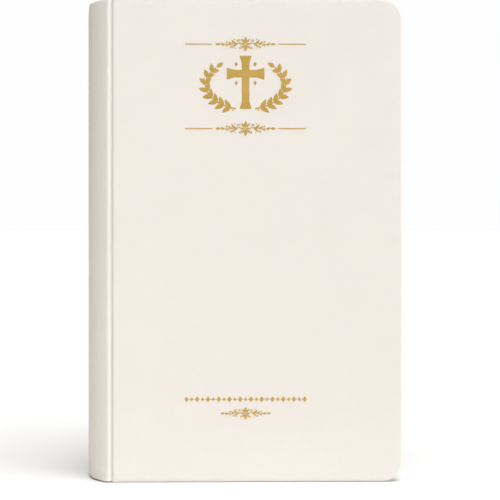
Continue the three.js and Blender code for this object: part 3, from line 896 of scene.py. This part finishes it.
def stamp(name, figures, z):
    """Each figure's face is a little prouder than the last one's, so that none share a plane."""
    points, faces = [], []
    for k, (flat, parts) in enumerate(figures):
        used = sorted({v for f in parts for v in f})
        flat, renumber = flat[used], {v: i for i, v in enumerate(used)}
        parts = [[renumber[v] for v in f] for f in parts]
        n, start = len(flat), sum(len(p) for p in points)
        for y in (FRONT_Y - PROUD - FIGURE_STEP * k, FRONT_Y + SUNK):
            points.append(stack_points(flat[:, 0] + STAMPING_X, y, flat[:, 1] + z))
        edges = [(f[i], f[(i + 1) % len(f)]) for f in parts for i in range(len(f))]
        uses = Counter(tuple(sorted(e)) for e in edges)
        faces += [[start + v for v in f] for f in parts]
        faces += [[start + n + v for v in f[::-1]] for f in parts]
        faces += [
            [start + b, start + a, start + n + a, start + n + b]
            for a, b in edges if uses[tuple(sorted((a, b)))] == 1]
    made = add_mesh(f"stamped_{name}", np.vstack(points), faces, [FOIL], sharp=20)
    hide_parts(f"foil_{name}")
    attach(made, "front_cover")


def cross_figures():
    """A cross with flared ends, with a small lozenge in each of its angles."""
    stem, arm_z, span, flare, foot, top, taper = 1.7, 4.8, 8.4, 2.7, -11.0, 12.8, 3.4
    aside = 4.2  # from the crossing to a lozenge, both ways
    right = [
        (flare, foot), (stem, foot + taper), (stem, arm_z - stem), (span - taper, arm_z - stem),
        (span, arm_z - flare), (span, arm_z + flare), (span - taper, arm_z + stem),
        (stem, arm_z + stem), (stem, top - taper), (flare, top)]
    figures = [polygon_figure(right + [(-x, z) for x, z in right[::-1]])]
    for x in (aside, -aside):
        for z in (arm_z - aside, arm_z + aside):
            figures.append(lozenge_figure(x, z, 0.8, 1.15))
    return figures


def spray_figures():
    """The right-hand spray: a curved stem with leaves on both sides and berries between them."""
    wide, high = 17.9, 11.2
    first_leaf, pairs = 2.2, 8
    leaf, leaf_width, shrink, spread = 4.7, 2.0, 0.14, math.radians(42)
    berry, berry_back, berry_aside = 0.34, 0.9, 0.95
    ts = np.radians(np.linspace(-76, 44, 121))
    stem = np.column_stack([wide * np.cos(ts), high * np.sin(ts)])
    along = np.concatenate([[0], np.cumsum(np.hypot(*np.diff(stem, axis=0).T))])
    figures = [line_figure(stem[::4], np.linspace(0.7, 0.4, len(stem[::4])))]
    for k, place in enumerate(np.linspace(first_leaf, along[-1], pairs + 1)):
        t = np.interp(place, along, ts)
        x, z = wide * math.cos(t), high * math.sin(t)
        ahead = math.atan2(high * math.cos(t), -wide * math.sin(t))
        size = leaf - shrink * k
        if k == pairs:
            figures.append(leaf_figure(x, z, size, 1.9, ahead))
            break
        for turn in (1, -1):
            figures.append(leaf_figure(x, z, size, leaf_width, ahead + turn * spread, -0.07 * turn))
        side = ahead + (math.pi / 2 if k % 2 else -math.pi / 2)
        x, z = x - berry_back * math.cos(ahead), z - berry_back * math.sin(ahead)
        x, z = x + berry_aside * math.cos(side), z + berry_aside * math.sin(side)
        figures.append(disc_figure(x, z, berry))
    return figures


def flourish_figures(half_width, half_height):
    """A symmetric ornament: a flower of four petals with a bud in each angle, stems that curl and
    carry leaves, and a drop at each end. It is drawn at the size of the larger ornaments."""
    w, h = half_width / ORNAMENT_HALF_SIZE[0], half_height / ORNAMENT_HALF_SIZE[1]
    fine, bold = 0.26 * w, 0.34 * w
    side = [
        line_figure([(0.9 * w, 0), (3.8 * w, 0.5 * h), (7.3 * w, -0.2 * h), (11.6 * w, 0)], bold),
        line_figure(spiral(3.3 * w, 1.35 * h, 1.1 * w, -1.9, -4.9), fine),
        line_figure(spiral(2.5 * w, -1.55 * h, 0.95 * w, 1.8, 4.9), fine),
        line_figure(spiral(6.5 * w, -1.15 * h, 0.85 * w, 1.9, 4.7), fine),
        line_figure(spiral(8.6 * w, 0.85 * h, 0.6 * w, -1.9, -4.4), fine),
        leaf_figure(4.1 * w, 0.25 * h, 2.9 * w, 1.0 * h, 0.72, -0.14),
        leaf_figure(5.6 * w, 0.1 * h, 2.5 * w, 0.85 * h, 0.5, -0.14),
        leaf_figure(3.4 * w, 0.2 * h, 2.9 * w, 0.95 * h, -0.72, 0.14),
        leaf_figure(7.0 * w, -0.15 * h, 2.2 * w, 0.7 * h, -0.5, 0.12),
        leaf_figure(9.3 * w, 0.0, 1.9 * w, 0.6 * h, 0.42, -0.12),
        leaf_figure(8.9 * w, -0.05 * h, 1.9 * w, 0.6 * h, -0.42, 0.12),
        leaf_figure(0.75 * w, 0.5 * h, 2.4 * w, 0.85 * w, 0.95, 0.1),
        leaf_figure(0.75 * w, -0.5 * h, 1.9 * w, 0.75 * w, -0.85, -0.1),
        leaf_figure(11.3 * w, 0, 2.2 * w, 1.15 * h, 0),
        disc_figure(3.3 * w, 1.35 * h, 0.34 * w),
        disc_figure(2.5 * w, -1.55 * h, 0.3 * w),
        disc_figure(6.5 * w, -1.15 * h, 0.28 * w),
        disc_figure(8.6 * w, 0.85 * h, 0.22 * w),
        disc_figure(4.9 * w, 2.1 * h, 0.3 * w),
        disc_figure(4.6 * w, -1.9 * h, 0.26 * w),
    ]
    middle = [
        leaf_figure(0, 0.2 * h, 3.2 * h, 1.5 * w, math.pi / 2),
        leaf_figure(0, -0.2 * h, 3.2 * h, 1.5 * w, -math.pi / 2),
        leaf_figure(0.15 * w, 0, 2.1 * w, 0.95 * w, 0),
        leaf_figure(-0.15 * w, 0, 2.1 * w, 0.95 * w, math.pi),
    ]
    return mirrored_figures(side) + middle


def ruled_flourish_figures():
    rule_start, rule_weight = 14.8, 0.42
    rule = [line_figure([(rule_start, 0), (RULE_END, 0)], rule_weight)]
    return flourish_figures(*ORNAMENT_HALF_SIZE) + mirrored_figures(rule)


def footer_figures():
    """Large and small lozenges in turn, with a short rule between two."""
    sizes = [(0.95, 1.35), (0.7, 0.95)]
    rule_start, rule_weight = 1, 0.3
    figures = []
    for i in range(FOOTER_LOZENGES):
        x = (i - FOOTER_LOZENGES // 2) * FOOTER_PITCH
        figures.append(lozenge_figure(x, 0, *sizes[i % 2]))
        if i < FOOTER_LOZENGES - 1:
            rule = [(x + rule_start, 0), (x + FOOTER_PITCH - rule_start, 0)]
            figures.append(line_figure(rule, rule_weight))
    return figures


# Everything in place

for side, mirror in (("front", False), ("back", True)):
    cover_leather(side, mirror)
    endpaper(side, mirror)
spine_leather()
book_block()
turning_leaves("front", FRONT_SHARES, False)
turning_leaves("back", BACK_SHARES, True)
base, top = LEAVES_LO[2], LEAVES_HI[2]
band("headband", top + BEAD_RISE, (top - BAND_TAPE_HEIGHT, top - TAPE_GAP))
band("tailband", base - BEAD_RISE, (base + TAPE_GAP, base + BAND_TAPE_HEIGHT))

right_spray = spray_figures()
left_spray = mirrored_figures(right_spray)[len(right_spray):]
stamp("cross", cross_figures(), EMBLEM_Z)
stamp("right_spray", right_spray, EMBLEM_Z)
stamp("left_spray", left_spray, EMBLEM_Z)
stamp("upper_ornament", ruled_flourish_figures(), UPPER_Z)
stamp("lower_ornament", ruled_flourish_figures(), LOWER_Z)
stamp("footer_row", footer_figures(), FOOTER_Z)
stamp("footer_ornament", flourish_figures(*TAILPIECE_HALF_SIZE), TAILPIECE_Z)

CAD_LOOKS = {"_board": BOARD, "inlay": BOARD, "kraft": KRAFT, "gauze": GAUZE, "thread": THREAD}
for name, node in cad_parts.items():
    for part, look in CAD_LOOKS.items():
        if part in name:
            node.data.materials.clear()
            node.data.materials.append(look)


# Camera, light and floor

scene = bpy.context.scene
scene.view_settings.view_transform = "Standard"
scene.view_settings.look = "None"
scene.view_settings.exposure = 0
scene.view_settings.gamma = 1

camera_data = bpy.data.cameras.new("camera")
camera_data.lens = 80.3
camera_data.sensor_width = 36
camera_data.shift_y = -0.08
camera = bpy.data.objects.new("camera", camera_data)
camera.location = (-0.00257, -0.5129, 0.12163)
camera.rotation_euler = (math.radians(90), 0, -math.radians(0.62))
scene.collection.objects.link(camera)
scene.camera = camera

bpy.ops.mesh.primitive_plane_add(size=12, location=(0, 0, 0))
floor = bpy.context.object
floor.name = "floor"
floor.data.materials.append(floor_look())


def sun_light(name, azimuth, elevation, strength, spread, colour=(1, 1, 1)):
    """Light from a direction: azimuth is from straight in front of the cover round to its right,
    spread is how soft the shadows are, and both are in degrees, as elevation is."""
    data = bpy.data.lights.new(name, "SUN")
    data.energy = strength * math.pi
    data.angle = math.radians(spread)
    data.color = colour
    lamp = bpy.data.objects.new(name, data)
    a, e = math.radians(azimuth), math.radians(elevation)
    source = Vector((math.sin(a) * math.cos(e), -math.cos(a) * math.cos(e), math.sin(e)))
    lamp.rotation_euler = source.to_track_quat("Z", "Y").to_euler()
    scene.collection.objects.link(lamp)


COOL, WARM = (0.985, 1.0, 1.03), (1.0, 0.95, 0.88)
sun_light("top_light", 20, 74, 0.945, 40)
sun_light("front_light", 0, 8, 0.14, 60, COOL)
sun_light("side_light", 50, 10, 0.27, 34, COOL)
sun_light("far_side_light", 70, 14, 0.32, 40, COOL)
sun_light("left_fill", -88, 8, 0.035, 60, WARM)
sun_light("back_light", 180, 8, 0.5, 14)

low_data = bpy.data.lights.new("low_fill", "AREA")
low_data.size = 0.08
low_data.energy = 0.08
low_data.color = (1.0, 0.93, 0.82)
low_fill = bpy.data.objects.new("low_fill", low_data)
low_fill.location = (-0.30, -0.07, 0.02)
towards_spine = Vector((-0.07, -0.01, 0.03)) - low_fill.location
low_fill.rotation_euler = towards_spine.to_track_quat("-Z", "Y").to_euler()
low_fill.visible_camera = False
scene.collection.objects.link(low_fill)


def studio_world():
    """White behind the book as the camera sees it, and a dim warm light on all sides."""
    world = bpy.data.worlds.new("studio")
    world.use_nodes = True
    nodes, links = world.node_tree.nodes, world.node_tree.links
    nodes.clear()
    either = nodes.new("ShaderNodeMixShader")
    from_camera = nodes.new("ShaderNodeLightPath").outputs["Is Camera Ray"]
    links.new(from_camera, either.inputs["Fac"])
    backgrounds = [((1.0, 0.965, 0.90, 1), 0.12), ((1, 1, 1, 1), 0.99)]
    for place, (colour, strength) in enumerate(backgrounds, 1):
        background = nodes.new("ShaderNodeBackground")
        background.inputs["Color"].default_value = colour
        background.inputs["Strength"].default_value = strength
        links.new(background.outputs[0], either.inputs[place])
    links.new(either.outputs[0], nodes.new("ShaderNodeOutputWorld").inputs["Surface"])
    return world


scene.world = studio_world()
